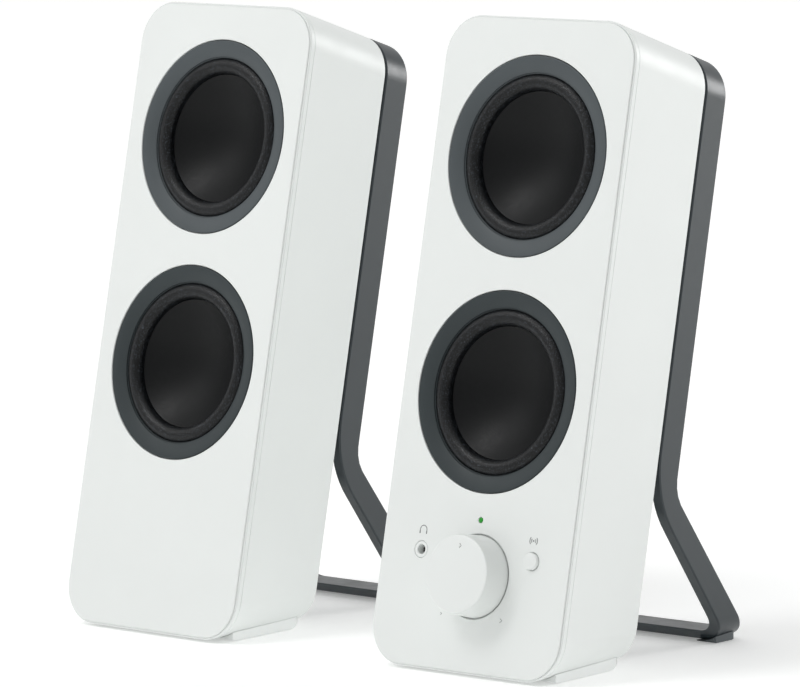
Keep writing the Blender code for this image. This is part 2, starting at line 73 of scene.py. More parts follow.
def softened(corners, closed=False, steps=5):  # corners are (across, along, fillet radius)
    path = []
    count = len(corners)
    for i, (x, y, radius) in enumerate(corners):
        here = Vector((x, y))
        ends = not closed and i in (0, count - 1)
        if radius <= 0.0 or ends:
            path.append((x, y))
            continue
        before = (Vector(corners[i - 1][:2]) - here).normalized()
        after = (Vector(corners[(i + 1) % count][:2]) - here).normalized()
        half = acos(max(-1.0, min(1.0, before.dot(after)))) / 2
        middle = here + (before + after).normalized() * (radius / sin(half))
        first = here + before * (radius / tan(half)) - middle
        last = here + after * (radius / tan(half)) - middle
        sweep = atan2(first.x * last.y - first.y * last.x, first.dot(last))
        for k in range(steps + 1):
            a = sweep * k / steps
            path.append((middle.x + first.x * cos(a) - first.y * sin(a),
                         middle.y + first.x * sin(a) + first.y * cos(a)))
    return path


def spun(profile, steps=96, closed=False):  # profile is (radius, depth), turned about the depth axis
    bm = bmesh.new()
    onAxis = 1e-6
    turns = [2 * pi * i / steps for i in range(steps)]
    rings = []
    for radius, depth in profile:
        if radius < onAxis:
            rings.append([bm.verts.new((0.0, depth, 0.0))])
        else:
            rings.append([bm.verts.new((radius * cos(a), depth, radius * sin(a))) for a in turns])
    bands = list(zip(rings, rings[1:]))
    if closed:
        bands.append((rings[-1], rings[0]))
    for a, b in bands:
        for i in range(steps):
            j = (i + 1) % steps
            corners = [a[i % len(a)], a[j % len(a)], b[j % len(b)], b[i % len(b)]]
            bm.faces.new(list(dict.fromkeys(corners)))
    return bm


def lofted(rings, closed=False):
    bm = bmesh.new()
    loops = [[bm.verts.new(point) for point in ring] for ring in rings]
    count = len(loops[0])
    bands = list(zip(loops, loops[1:]))
    if closed:
        bands.append((loops[-1], loops[0]))
    for a, b in bands:
        for i in range(count):
            j = (i + 1) % count
            bm.faces.new((a[i], a[j], b[j], b[i]))
    if not closed:
        bm.faces.new(loops[0])
        bm.faces.new(list(reversed(loops[-1])))
    return bm


def slab(outline, front, back):
    return lofted([[(x, depth, z) for x, z in outline] for depth in (front, back)])


def stroke(points, width, front, back):  # a flat line of even width along points
    left, right = [], []
    for i, point in enumerate(points):
        ahead = Vector(points[min(i + 1, len(points) - 1)]) - Vector(points[max(i - 1, 0)])
        across = Vector((-ahead.y, ahead.x)).normalized() * (width / 2)
        left.append((point[0] + across.x, point[1] + across.y))
        right.append((point[0] - across.x, point[1] - across.y))
    return slab(left + list(reversed(right)), front, back)


def roundedBox(halfWidth, low, high, radius, lowRadius=None, steps=12):
    foot = radius if lowRadius is None else lowRadius
    points = arcPoints((halfWidth - foot, low + foot), foot, -90, 0, steps)
    points += arcPoints((halfWidth - radius, high - radius), radius, 0, 90, steps)
    points += arcPoints((radius - halfWidth, high - radius), radius, 90, 180, steps)
    points += arcPoints((foot - halfWidth, low + foot), foot, 180, 270, steps)
    return points


def moved(bm, x=0.0, y=0.0, z=0.0):
    bmesh.ops.translate(bm, verts=bm.verts, vec=(x, y, z))
    return bm


def plug(x, z, radius, front, back, steps=96):  # a plain round cutter
    return moved(spun([(0.0, front), (radius, front), (radius, back), (0.0, back)], steps), x=x, z=z)


def joined(parts):
    whole = bmesh.new()
    for part in parts:
        mesh = bpy.data.meshes.new("part")
        part.to_mesh(mesh)
        part.free()
        whole.from_mesh(mesh)
        bpy.data.meshes.remove(mesh)
    return whole


def asObject(name, bm, matrix):
    bmesh.ops.recalc_face_normals(bm, faces=bm.faces)
    mesh = bpy.data.meshes.new(name)
    bm.to_mesh(mesh)
    bm.free()
    thing = bpy.data.objects.new(name, mesh)
    bpy.context.scene.collection.objects.link(thing)
    thing.matrix_world = matrix
    return thing


def carve(thing, cutter, operation="DIFFERENCE"):  # cuts at once and throws the cutter away
    tool = asObject("cutter", cutter, thing.matrix_world.copy())
    step = thing.modifiers.new("carve", "BOOLEAN")
    step.operation = operation
    step.solver = "EXACT"
    step.object = tool
    bpy.context.view_layer.update()
    result = bpy.data.meshes.new_from_object(thing.evaluated_get(bpy.context.evaluated_depsgraph_get()))
    old = thing.data
    thing.modifiers.clear()
    thing.data = result
    thing.data.name = thing.name
    bpy.data.meshes.remove(old)
    oldTool = tool.data
    bpy.data.objects.remove(tool, do_unlink=True)
    bpy.data.meshes.remove(oldTool)
    return thing


def roundEdges(thing, width, segments=3, angle=40.0):
    bevel = thing.modifiers.new("roundedEdges", "BEVEL")
    bevel.width = width
    bevel.segments = segments
    bevel.limit_method = "ANGLE"
    bevel.angle_limit = radians(angle)
    bevel.use_clamp_overlap = False
    bevel.miter_outer = "MITER_ARC"
    return thing


def finished(thing, body, material, replaces=(), sharp=40.0, weighted=True, ownFrame=False):
    mesh = thing.data
    if not ownFrame:  # its place goes into its mesh, as in the CAD parts
        mesh.transform(thing.matrix_world)
        thing.matrix_world = Matrix.Identity(4)
    mesh.shade_smooth()
    mesh.set_sharp_from_angle(angle=radians(sharp))
    mesh.materials.clear()
    mesh.materials.append(material)
    if weighted:
        weights = thing.modifiers.new("evenShading", "WEIGHTED_NORMAL")
        weights.keep_sharp = True
        weights.weight = 80
    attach(thing, body)
    if replaces:
        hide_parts(*replaces)
    return thing


texture = {  # widths of the patches, in metres
    "toneWidth": 0.045,
    "wearWidth": 0.009,
    "wearSpread": 0.05,
    "dustWidth": 0.0012,
    "lineScale": 0.31,  # a wave texture's scale times the width of one of its lines
}


def startMaterial(name):
    material = bpy.data.materials.new(name)
    material.use_nodes = True
    nodes = material.node_tree.nodes
    shader = nodes["Principled BSDF"]
    place = nodes.new("ShaderNodeTexCoord")
    return material, shader, place.outputs["Object"]


def noiseOver(material, place, width, detail=3.0, roughness=0.5):
    noise = material.node_tree.nodes.new("ShaderNodeTexNoise")
    noise.inputs["Scale"].default_value = 1.0 / width
    noise.inputs["Detail"].default_value = detail
    noise.inputs["Roughness"].default_value = roughness
    material.node_tree.links.new(place, noise.inputs["Vector"])
    return noise.outputs["Fac"]


def wavesOver(material, place, width, kind, direction, distortion=0.0):
    waves = material.node_tree.nodes.new("ShaderNodeTexWave")
    waves.wave_type = kind
    if kind == "RINGS":
        waves.rings_direction = direction
    else:
        waves.bands_direction = direction
    waves.inputs["Scale"].default_value = texture["lineScale"] / width
    waves.inputs["Distortion"].default_value = distortion
    material.node_tree.links.new(place, waves.inputs["Vector"])
    return waves.outputs["Fac"]


def spread(material, source, low, high, fromLow=0.3, fromHigh=0.7):
    ranged = material.node_tree.nodes.new("ShaderNodeMapRange")
    ranged.inputs["From Min"].default_value = fromLow
    ranged.inputs["From Max"].default_value = fromHigh
    ranged.inputs["To Min"].default_value = low
    ranged.inputs["To Max"].default_value = high
    material.node_tree.links.new(source, ranged.inputs["Value"])
    return ranged.outputs["Result"]


def tinted(material, source, dark, light, start=0.3, end=0.7):
    ramp = material.node_tree.nodes.new("ShaderNodeValToRGB")
    ramp.color_ramp.elements[0].position = start
    ramp.color_ramp.elements[0].color = (*dark, 1.0)
    ramp.color_ramp.elements[1].position = end
    ramp.color_ramp.elements[1].color = (*light, 1.0)
    material.node_tree.links.new(source, ramp.inputs["Fac"])
    return ramp.outputs["Color"]


def bumped(material, source, strength, distance, before=None):
    bump = material.node_tree.nodes.new("ShaderNodeBump")
    bump.inputs["Strength"].default_value = strength
    bump.inputs["Distance"].default_value = distance
    material.node_tree.links.new(source, bump.inputs["Height"])
    if before:
        material.node_tree.links.new(before, bump.inputs["Normal"])
    return bump.outputs["Normal"]


def shaded(colour, factor):
    return tuple(channel * factor for channel in colour)


def grainedPlastic(name, colour, roughness, grain, grainDepth, variation, specular=0.5):
    material, shader, place = startMaterial(name)
    links = material.node_tree.links
    tone = noiseOver(material, place, texture["toneWidth"], 4.0)
    links.new(tinted(material, tone, shaded(colour, 1 - variation), shaded(colour, 1 + variation)),
              shader.inputs["Base Color"])
    wear = noiseOver(material, place, texture["wearWidth"], 5.0, 0.6)
    change = texture["wearSpread"]
    links.new(spread(material, wear, roughness - change, roughness + change), shader.inputs["Roughness"])
    pores = noiseOver(material, place, grain, 2.0)
    links.new(bumped(material, pores, 0.5, grainDepth), shader.inputs["Normal"])
    shader.inputs["Specular IOR Level"].default_value = specular
    return material


def rubberSkin(name, colour, paintedGlint, roughness, grain, grainDepth, specular):  # pitted, with light flecks in the colour as painted glints off the grain
    material, shader, place = startMaterial(name)
    links = material.node_tree.links
    cells = material.node_tree.nodes.new("ShaderNodeTexVoronoi")
    cells.inputs["Scale"].default_value = 1.0 / grain
    links.new(place, cells.inputs["Vector"])
    fine = noiseOver(material, place, grain * 0.9, 2.0, 0.6)
    links.new(tinted(material, fine, colour, shaded(colour, paintedGlint), 0.54, 0.76), shader.inputs["Base Color"])
    links.new(spread(material, fine, roughness + 0.10, roughness - 0.14), shader.inputs["Roughness"])
    pits = bumped(material, cells.outputs["Distance"], 0.7, grainDepth)
    links.new(bumped(material, fine, 0.8, grainDepth, pits), shader.inputs["Normal"])
    shader.inputs["Specular IOR Level"].default_value = specular
    return material


def ringedPlastic(name, colour, roughness, ringWidth, ringDepth, specular):  # rings left by the mould
    material, shader, place = startMaterial(name)
    links = material.node_tree.links
    rings = wavesOver(material, place, ringWidth, "RINGS", "Y", 0.4)
    dust = noiseOver(material, place, texture["dustWidth"], 6.0, 0.65)
    links.new(tinted(material, dust, shaded(colour, 0.85), shaded(colour, 1.2)), shader.inputs["Base Color"])
    links.new(spread(material, dust, roughness - 0.06, roughness + 0.06), shader.inputs["Roughness"])
    turned = bumped(material, rings, 0.25, ringDepth)
    links.new(bumped(material, dust, 0.15, ringDepth, turned), shader.inputs["Normal"])
    shader.inputs["Specular IOR Level"].default_value = specular
    return material


def brushedMetal(name, colour, roughness, lineWidth):
    material, shader, place = startMaterial(name)
    links = material.node_tree.links
    lines = noiseOver(material, place, lineWidth, 6.0, 0.7)
    links.new(tinted(material, lines, shaded(colour, 0.82), colour), shader.inputs["Base Color"])
    links.new(spread(material, lines, roughness - 0.08, roughness + 0.1), shader.inputs["Roughness"])
    links.new(bumped(material, lines, 0.2, lineWidth * 0.1), shader.inputs["Normal"])
    shader.inputs["Metallic"].default_value = 1.0
    return material


def wovenCloth(name, colour, roughness, thread):
    material, shader, place = startMaterial(name)
    links = material.node_tree.links
    warp = wavesOver(material, place, thread, "BANDS", "X")
    weft = wavesOver(material, place, thread, "BANDS", "Z")
    links.new(tinted(material, warp, shaded(colour, 0.7), colour, 0.1, 0.9), shader.inputs["Base Color"])
    first = bumped(material, warp, 0.6, thread * 0.3)
    links.new(bumped(material, weft, 0.6, thread * 0.3, first), shader.inputs["Normal"])
    shader.inputs["Roughness"].default_value = roughness
    return material


def litLens(name, colour, roughness, strength):
    material, shader, place = startMaterial(name)
    links = material.node_tree.links
    depth = noiseOver(material, place, 0.0008, 2.0)
    links.new(tinted(material, depth, shaded(colour, 0.75), colour), shader.inputs["Base Color"])
    shader.inputs["Roughness"].default_value = roughness
    shader.inputs["Emission Color"].default_value = (*colour, 1.0)
    shader.inputs["Emission Strength"].default_value = strength
    return material


finishes = {
    "white": (0.80, 0.825, 0.81),
    "charcoal": (0.068, 0.080, 0.086),
    # the same charcoal made darker: painted shade for the lower trim rings, which are the same plastic as the
    # upper ones
    "charcoalPaintedShade": (0.034, 0.043, 0.046),
    "standGrey": (0.0255, 0.034, 0.039),
    "black": (0.020, 0.020, 0.022),
    "surround": (0.0026, 0.0030, 0.0035),
    "cone": (0.0035, 0.0040, 0.0045),
    # lifted above the case's white to paint in light the strips lose to contact shade
    "foot": (0.86, 0.88, 0.87),
    # lightened to paint in light the pads lose in the stand's shadow
    "pad": (0.105, 0.118, 0.124),
    "print": (0.22, 0.23, 0.23),
    "lamp": (0.008, 0.26, 0.012),
    "steel": (0.52, 0.52, 0.53),
    "zinc": (0.66, 0.66, 0.68),
    "copper": (0.62, 0.30, 0.14),
    "ferrite": (0.05, 0.05, 0.055),
    "cloth": (0.55, 0.42, 0.20),
    "board": (0.03, 0.16, 0.08),
}

whitePlastic = grainedPlastic("whitePlastic", finishes["white"], roughness=0.42, grain=0.00035,
                              grainDepth=0.000012, variation=0.010)
greyPlastic = grainedPlastic("greyPlastic", finishes["charcoal"], roughness=0.46, grain=0.00030,
                             grainDepth=0.000015, variation=0.06, specular=0.30)
# shaded copy of the grey plastic, painted darker for the lower trim rings
greyPlasticPaintedShade = grainedPlastic("greyPlasticPaintedShade", finishes["charcoalPaintedShade"], roughness=0.46, grain=0.00030,
                                 grainDepth=0.000015, variation=0.06, specular=0.25)
standPlastic = grainedPlastic("standPlastic", finishes["standGrey"], roughness=0.33, grain=0.00035,
                              grainDepth=0.000004, variation=0.04, specular=0.48)
blackPlastic = grainedPlastic("blackPlastic", finishes["black"], roughness=0.45, grain=0.0004,
                              grainDepth=0.00002, variation=0.1)
# the light flecks stand for glints off the rubber's grain: painted highlight
surroundRubber = rubberSkin("surroundRubber", finishes["surround"], paintedGlint=24.0, roughness=0.36, grain=0.00060,
                            grainDepth=0.00010, specular=0.26)
# the strips' white is lifted past the case's white: painted light
footRubberPaintedLight = grainedPlastic("footRubberPaintedLight", finishes["foot"], roughness=0.60, grain=0.0006,
                            grainDepth=0.000010, variation=0.02, specular=0.3)
# the pads' grey is lightened: painted light against the stand's shadow
padRubberPaintedLight = grainedPlastic("padRubberPaintedLight", finishes["pad"], roughness=0.62, grain=0.0006,
                           grainDepth=0.00002, variation=0.08, specular=0.3)
conePlastic = ringedPlastic("conePlastic", finishes["cone"], roughness=0.41, ringWidth=0.0009,
                            ringDepth=0.00002, specular=0.17)
printInk = grainedPlastic("printInk", finishes["print"], roughness=0.50, grain=0.0002,
                          grainDepth=0.000004, variation=0.04)
platedSteel = brushedMetal("platedSteel", finishes["steel"], roughness=0.34, lineWidth=0.0006)
brightZinc = brushedMetal("brightZinc", finishes["zinc"], roughness=0.28, lineWidth=0.0005)
copperWire = brushedMetal("copperWire", finishes["copper"], roughness=0.35, lineWidth=0.0003)
darkFerrite = grainedPlastic("darkFerrite", finishes["ferrite"], roughness=0.7, grain=0.0008,
                             grainDepth=0.00005, variation=0.15)
spiderCloth = wovenCloth("spiderCloth", finishes["cloth"], roughness=0.85, thread=0.0007)
boardGreen = grainedPlastic("boardGreen", finishes["board"], roughness=0.42, grain=0.0012,
                            grainDepth=0.00003, variation=0.2)
greenLens = litLens("greenLens", finishes["lamp"], roughness=0.18, strength=0.25)

slotFinish = {
    "white_plastic": whitePlastic, "grey_plastic": greyPlastic, "black_rubber": surroundRubber,
    "black_cone": conePlastic, "foot_rubber": footRubberPaintedLight, "pad_rubber": padRubberPaintedLight, "steel": platedSteel,
    "ferrite": darkFerrite, "copper": copperWire, "spider_cloth": spiderCloth, "circuit_board": boardGreen,
    "black_plastic": blackPlastic, "green_lens": greenLens, "zinc": brightZinc,
}
for subpart in frame["record"]["subparts"]:  # every CAD part gets its finish, shown or not
    carried = frame["nodes"][subpart["node"]]
    carried.data.materials.clear()
    carried.data.materials.append(slotFinish[subpart["material_slot"]])
print("finishes made")


cabinet = {
    "width": 0.0920,
    "height": 0.2440,
    "depth": 0.0481,
    "sideDraft": tan(radians(5.0)),
    "bottomRise": tan(radians(13.6)),
    "cornerRadius": 0.0156,
    "lowCornerTaper": 0.054,  # the lower corners tighten towards the back
    "cornerSteps": 14,
    "wall": 0.0024,
    "gap": 0.0003,
    "rearRound": 0.0010,
    "seamDepth": 0.0029,
    "seamGap": 0.00005,
    "seamRound": 0.00015,
}
face = {
    "thickness": 0.0020,
    "gap": 0.00003,
    "rounding": {"left": 0.0004, "right": 0.0003},
    "ringSteps": 128,
    "controlSteps": 48,
}
baffle = {
    "rimWidth": 0.0008,
    "rimSetback": 0.0005,
    "rimRound": 0.0004,
    "rimStep": 0.0001,
    "back": 0.0062,
    "openingRadius": 0.0352,
    "cutEnd": 0.009,
}
cutPast = 0.001  # how far a cutter reaches past the face that it cuts


def cabinetRing(depth, inset=0.0):
    narrowing = cabinet["sideDraft"] * depth
    low = cabinet["cornerRadius"] - cabinet["lowCornerTaper"] * depth
    outline = roundedBox(cabinet["width"] / 2 - narrowing - inset, cabinet["bottomRise"] * depth + inset,
                         cabinet["height"] - narrowing - inset, cabinet["cornerRadius"] - inset, low - inset,
                         cabinet["cornerSteps"])
    return [(x, depth, z) for x, z in outline]


def controlHoles(front, back):
    return [plug(*control["spot"], control["hole"], front, back, face["controlSteps"])
            for control in (knob, lamp, phones, pairingKey)]


def driverHoles(radius, front, back):
    heights = drivers["heights"].values()
    return [plug(0.0, height, radius, front, back, face["ringSteps"]) for height in heights]


def makeFace(side):  # flat front plate, let into the baffle's rim
    edge = baffle["rimWidth"] + face["gap"]
    thickness = face["thickness"]
    sheet = lofted([cabinetRing(0.0, edge), cabinetRing(thickness, edge)])
    plate = asObject("face_" + side, sheet, leaningFrame(side))
    carve(plate, joined(driverHoles(trimRing["outer"] + cabinet["gap"], -cutPast, thickness + cutPast)))
    if side == "right":
        carve(plate, joined(controlHoles(-cutPast, thickness + cutPast)))
        carve(plate, plug(*knob["spot"], knob["radius"] + knob["clearance"], -cutPast, knob["recess"]))
    roundEdges(plate, face["rounding"][side])
    finished(plate, side + "_speaker", whitePlastic, ["fascia_" + side])


def makeBaffle(side):  # the rim round the face, the tray behind it and the spigot into the case
    c, b = cabinet, baffle
    spigot = c["wall"] + c["gap"]
    bend, setback = b["rimRound"], b["rimSetback"]
    seam, seamRound = c["seamDepth"] - c["seamGap"], c["seamRound"]
    rings = [cabinetRing(face["thickness"] + c["gap"], b["rimWidth"]),
             cabinetRing(setback + b["rimStep"], b["rimWidth"])]
    for across, along in arcPoints((0.0, 0.0), bend, 90, 180, 5):
        rings.append(cabinetRing(setback + bend - along, bend + across))
    rings += [cabinetRing(seam - seamRound, 0.0), cabinetRing(seam, seamRound), cabinetRing(seam, spigot),
              cabinetRing(b["back"], spigot)]
    tray = asObject("baffle_" + side, lofted(rings), leaningFrame(side))
    carve(tray, joined(driverHoles(b["openingRadius"], 0.0, b["cutEnd"])))
    if side == "right":
        carve(tray, joined(controlHoles(0.0, b["cutEnd"])))
    finished(tray, side + "_speaker", whitePlastic, ["front_baffle_" + side])


rearPlate = {
    "halfWidth": 0.0260,
    "low": 0.0240,
    "high": 0.0840,
    "corner": 0.0030,
    "cornerSteps": 8,
    "thickness": 0.0021,
    "rounding": 0.0003,
    "seatDepth": 0.006,
    "cutEnd": 0.004,
}
plateScrew = {
    "name": "plateScrew",
    "spots": [(-0.0215, 0.0290), (0.0215, 0.0290), (-0.0215, 0.0790), (0.0215, 0.0790)],
    "radius": 0.0022,
    "height": 0.0011,
    "crossDepth": 0.0007,
    "sunk": 0.0,
}
caseScrew = {
    "name": "caseScrew",
    "spots": [(-0.0330, 0.0230), (0.0330, 0.0230), (-0.0330, 0.0900), (0.0330, 0.0900)],
    "radius": 0.0027,
    "height": 0.0010,
    "crossDepth": 0.0006,
    "sunk": 0.0010,
    "wellRadius": 0.0034,
}
screwHead = {  # shares of the head's radius, and of its height for the shoulder
    "dome": 0.55,
    "domeRound": 0.3,
    "shoulder": 0.45,
    "shoulderRound": 0.12,
    "crossReach": 0.62,
    "crossWidth": 0.11,
    "steps": 48,
}


def makeCase(side):  # tapered shell behind the seam
    c, p = cabinet, rearPlate
    bend, depth = c["rearRound"], c["depth"]
    seam, seamRound = c["seamDepth"], c["seamRound"]
    rings = [cabinetRing(depth - c["wall"], c["wall"]), cabinetRing(seam, c["wall"]),
             cabinetRing(seam, seamRound), cabinetRing(seam + seamRound, 0.0)]
    for across, along in arcPoints((0.0, 0.0), bend, 180, 90, 6):
        rings.append(cabinetRing(depth - bend + along, bend + across))
    case = asObject("case_" + side, lofted(rings), leaningFrame(side))
    opening = roundedBox(p["halfWidth"], p["low"], p["high"], p["corner"], steps=p["cornerSteps"])
    end = depth + p["cutEnd"]
    cuts = [slab(opening, depth - p["seatDepth"], end)]
    cuts += [plug(x, z, caseScrew["wellRadius"], depth - caseScrew["sunk"], end, screwHead["steps"])
             for x, z in caseScrew["spots"]]
    carve(case, joined(cuts))
    finished(case, side + "_speaker", whitePlastic, ["cabinet_shell_" + side])


def crossHead(radius, height, crossDepth):  # domed head with a cross cut in it, on depth 0 and facing back
    s = screwHead
    profile = softened([
        (0.0, height, 0.0), (radius * s["dome"], height, radius * s["domeRound"]),
        (radius, height * s["shoulder"], radius * s["shoulderRound"]), (radius, 0.0, 0.0), (0.0, 0.0, 0.0),
    ])
    head = asObject("head", spun(profile, s["steps"]), Matrix.Identity(4))
    arm, blade = radius * s["crossReach"], radius * s["crossWidth"]
    for across, tall in ((arm, blade), (blade, arm)):
        cross = [(-across, -tall), (across, -tall), (across, tall), (-across, tall)]
        carve(head, slab(cross, height - crossDepth, height + cutPast))
    bm = bmesh.new()
    bm.from_mesh(head.data)
    old = head.data
    bpy.data.objects.remove(head, do_unlink=True)
    bpy.data.meshes.remove(old)
    return bm


def makeScrews(side):
    for screw in (plateScrew, caseScrew):
        for number, (x, z) in enumerate(screw["spots"], 1):
            shape = crossHead(screw["radius"], screw["height"], screw["crossDepth"])
            head = asObject("%s%d_%s" % (screw["name"], number, side),
                            moved(shape, x, cabinet["depth"] - screw["sunk"], z), leaningFrame(side))
            finished(head, side + "_speaker", platedSteel)


drivers = {
    "heights": {"driver": 0.1923, "radiator": 0.1046},
    "steps": 144,
}
trimRing = {
    "outer": 0.0375,
    "bore": 0.0313,
    "dish": 0.0016,
    "dishPower": 1.7,
    "dishSteps": 10,
    "skirt": 0.0024,
    "skirtOuter": 0.0008,
    "shoulder": 0.0012,
    "lip": 0.0004,
    "lipHeight": 0.0003,
    "lipRound": 0.0001,
    "rounding": 0.0003,
}


def onDriver(name, profile, side, kind):  # a closed outline turned round a driver's own axis
    shape = moved(spun(profile, drivers["steps"], True), z=drivers["heights"][kind])
    return asObject(name, shape, leaningFrame(side))


def makeRing(side, kind, node):  # trim ring, hollowed towards its bore
    r = trimRing
    outer, bore, skirt, back = r["outer"], r["bore"], r["skirt"], face["thickness"]
    lipTop, lipEdge = skirt - r["lipHeight"], bore - r["lip"]
    shares = [i / r["dishSteps"] for i in range(1, r["dishSteps"])]
    dish = [(bore + (outer - bore) * share, r["dish"] * (1 - share) ** r["dishPower"], 0.0)
            for share in shares]
    profile = softened([
        (outer, 0.0, r["rounding"]), (outer, back, 0.0), (bore + r["shoulder"], back, 0.0),
        (bore + r["skirtOuter"], skirt, 0.0), (lipEdge, skirt, 0.0), (lipEdge, lipTop, r["lipRound"]),
        (bore, lipTop, 0.0), (bore, r["dish"], r["rounding"]),
    ] + dish, closed=True)
    # the lower rings take the darker copy of the same plastic: painted shade
    material = greyPlastic if kind == "driver" else greyPlasticPaintedShade
    ring = onDriver("%sRing_%s" % (kind, side), profile, side, kind)
    finished(ring, side + "_speaker", material, [node], weighted=False)


surround = {
    "edge": 0.0318,
    "land": 0.0040,
    "landGap": 0.0002,
    "rubber": 0.0005,
    "rollMiddle": 0.0281,
    "rollRadius": 0.0031,
    "wallEnd": 0.0074,  # the roll's inner wall reaches past the cone at its deepest
    "wallThickness": 0.0003,
}


def makeSurround(side, kind):  # half roll of rubber, with a wall inside it that the cone's edge slides along
    s = surround
    land, back = s["land"], s["land"] + s["rubber"]
    inner = s["rollMiddle"] - s["rollRadius"]
    roll = [(s["edge"], back), (s["edge"], land), (s["rollMiddle"] + s["rollRadius"] + s["landGap"], land)]
    roll += arcPoints((s["rollMiddle"], land), s["rollRadius"], 0, -180, 24)
    roll += [(inner, s["wallEnd"]), (inner + s["wallThickness"], s["wallEnd"])]
    roll += arcPoints((s["rollMiddle"], back), s["rollRadius"] - s["rubber"], -180, 0, 18)
    skin = onDriver("%sSurround_%s" % (kind, side), roll, side, kind)
    finished(skin, side + "_speaker", surroundRubber, ["%s_surround_%s" % (kind, side)],
             weighted=False)


cone = {
    "radius": 0.0248,
    "edgeDepth": 0.0048,
    "sag": 0.0082,
    "thickness": 0.0006,
    "rings": 16,
    "steps": 128,
}


def makeCone(side, kind):
    c = cone
    shares = [i / c["rings"] for i in range(c["rings"] + 1)]
    dish = [(c["radius"] * share, c["edgeDepth"] + c["sag"] * (1 - share ** 2)) for share in shares]
    dish += [(radius, depth + c["thickness"]) for radius, depth in reversed(dish)]
    centre = leaningFrame(side) @ Matrix.Translation((0.0, 0.0, drivers["heights"][kind]))
    body = "%s_cone_%s" % (kind, side)
    thing = asObject("%sCone_%s" % (kind, side), spun(dish, c["steps"]), centre)
    finished(thing, body, conePlastic, [body], weighted=False, ownFrame=True)


def controlPiece(name, bm, spot, body, material, replaces=()):
    piece = asObject(name, moved(bm, x=spot[0], z=spot[1]), leaningFrame("right"))
    return finished(piece, body, material, replaces)


knob = {
    "spot": (0.0014, 0.0362),
    "hole": 0.0048,
    "radius": 0.0153,
    "faceRadius": 0.0146,
    "reach": 0.01105,
    "faceRound": 0.0006,
    "skirtDepth": 0.0006,
    "skirtRound": 0.0003,
    "socketRadius": 0.0034,
    "socketFloor": 0.0064,
    "clearance": 0.0005,
    "recess": 0.0012,
    "steps": 144,
    "notchHeight": 0.0105,
    "notchReach": 0.00045,
    "notchSpread": 0.00085,
    "notchWidth": 0.00036,
    "notchDepth": 0.00025,
    "inkTop": 0.00005,
    "inkBed": 0.0001,
}


def makeKnob():
    k = knob
    profile = softened([
        (0.0, -k["reach"], 0.0), (k["faceRadius"], -k["reach"], k["faceRound"]),
        (k["radius"], k["skirtDepth"], k["skirtRound"]), (k["socketRadius"], k["skirtDepth"], 0.0),
        (k["socketRadius"], -k["socketFloor"], 0.0), (0.0, -k["socketFloor"], 0.0),
    ])
    cap = asObject("knob", spun(profile, k["steps"]), leaningFrame("right"))
    floor = k["notchDepth"] - k["reach"]
    reach, spreadHalf = k["notchReach"], k["notchSpread"]
    corners = ((0.0, spreadHalf), (reach * 2, 0.0), (0.0, -spreadHalf))
    notch = [(x - reach / 2, z + k["notchHeight"]) for x, z in corners]
    carve(cap, stroke(notch, k["notchWidth"], -k["reach"] - cutPast, floor))
    cap.data.transform(Matrix.Translation((k["spot"][0], 0.0, k["spot"][1])))
    finished(cap, "volume_knob", whitePlastic, ["volume_knob"])
    inlay = stroke(notch, k["notchWidth"], floor - k["inkTop"], floor + k["inkBed"])
    controlPiece("knobNotchInk", inlay, k["spot"], "volume_knob", printInk)


lamp = {
    "spot": (0.0004, 0.0570),
    "hole": 0.0011,
    "radius": 0.00095,
    "round": 0.0004,
    "depth": 0.0020,
    "steps": 48,
}


def makeLamp():
    radius, depth = lamp["radius"], lamp["depth"]
    corners = [(0.0, 0.0, 0.0), (radius, 0.0, lamp["round"]), (radius, depth, 0.0), (0.0, depth, 0.0)]
    controlPiece("statusLamp", spun(softened(corners), lamp["steps"]), lamp["spot"], "right_speaker",
                 greenLens, ["power_led"])


phones = {
    "spot": (-0.0265, 0.0438),
    "hole": 0.0032,
    "bore": 0.00175,
    "boreEnd": 0.0104,
    "mouth": 0.00190,
    "mouthDepth": 0.0009,
    "front": 0.0001,
    "frontRound": 0.0003,
    "barrel": 0.0031,
    "shoulder": 0.0040,
    "shoulderFront": 0.0066,
    "back": 0.0112,
    "liningInner": 0.00150,
    "liningOuter": 0.00172,
    "liningFront": 0.0034,
    "liningEnd": 0.0100,
    "floorFront": 0.0099,
    "floorEnd": 0.0102,
    "steps": 64,
    "floorSteps": 48,
}


def makeJack():
    p = phones
    profile = softened([
        (0.0, p["boreEnd"], 0.0), (p["bore"], p["boreEnd"], 0.0), (p["bore"], p["mouthDepth"], 0.0),
        (p["mouth"], p["front"], p["frontRound"]), (p["barrel"], p["front"], p["frontRound"]),
        (p["barrel"], p["shoulderFront"], 0.0), (p["shoulder"], p["shoulderFront"], 0.0),
        (p["shoulder"], p["back"], 0.0), (0.0, p["back"], 0.0),
    ])
    controlPiece("phonesSocket", spun(profile, p["steps"]), p["spot"], "right_speaker",
                 whitePlastic, ["headphone_jack"])
    lining = [(p["liningOuter"], p["liningFront"]), (p["liningOuter"], p["liningEnd"]),
              (p["liningInner"], p["liningEnd"]), (p["liningInner"], p["liningFront"])]
    controlPiece("phonesSocketLining", spun(lining, p["steps"], True), p["spot"], "right_speaker",
                 blackPlastic)
    well = [(0.0, p["floorFront"]), (p["liningInner"], p["floorFront"]), (p["liningInner"], p["floorEnd"]),
            (0.0, p["floorEnd"])]
    controlPiece("phonesSocketFloor", spun(well, p["floorSteps"]), p["spot"], "right_speaker",
                 blackPlastic)


pairingKey = {
    "spot": (0.0272, 0.0441),
    "hole": 0.00335,
    "reach": 0.0012,
    "radius": 0.0032,
    "round": 0.0006,
    "flange": 0.0042,
    "flangeFront": 0.0066,
    "flangeBack": 0.0073,
    "steps": 64,
}


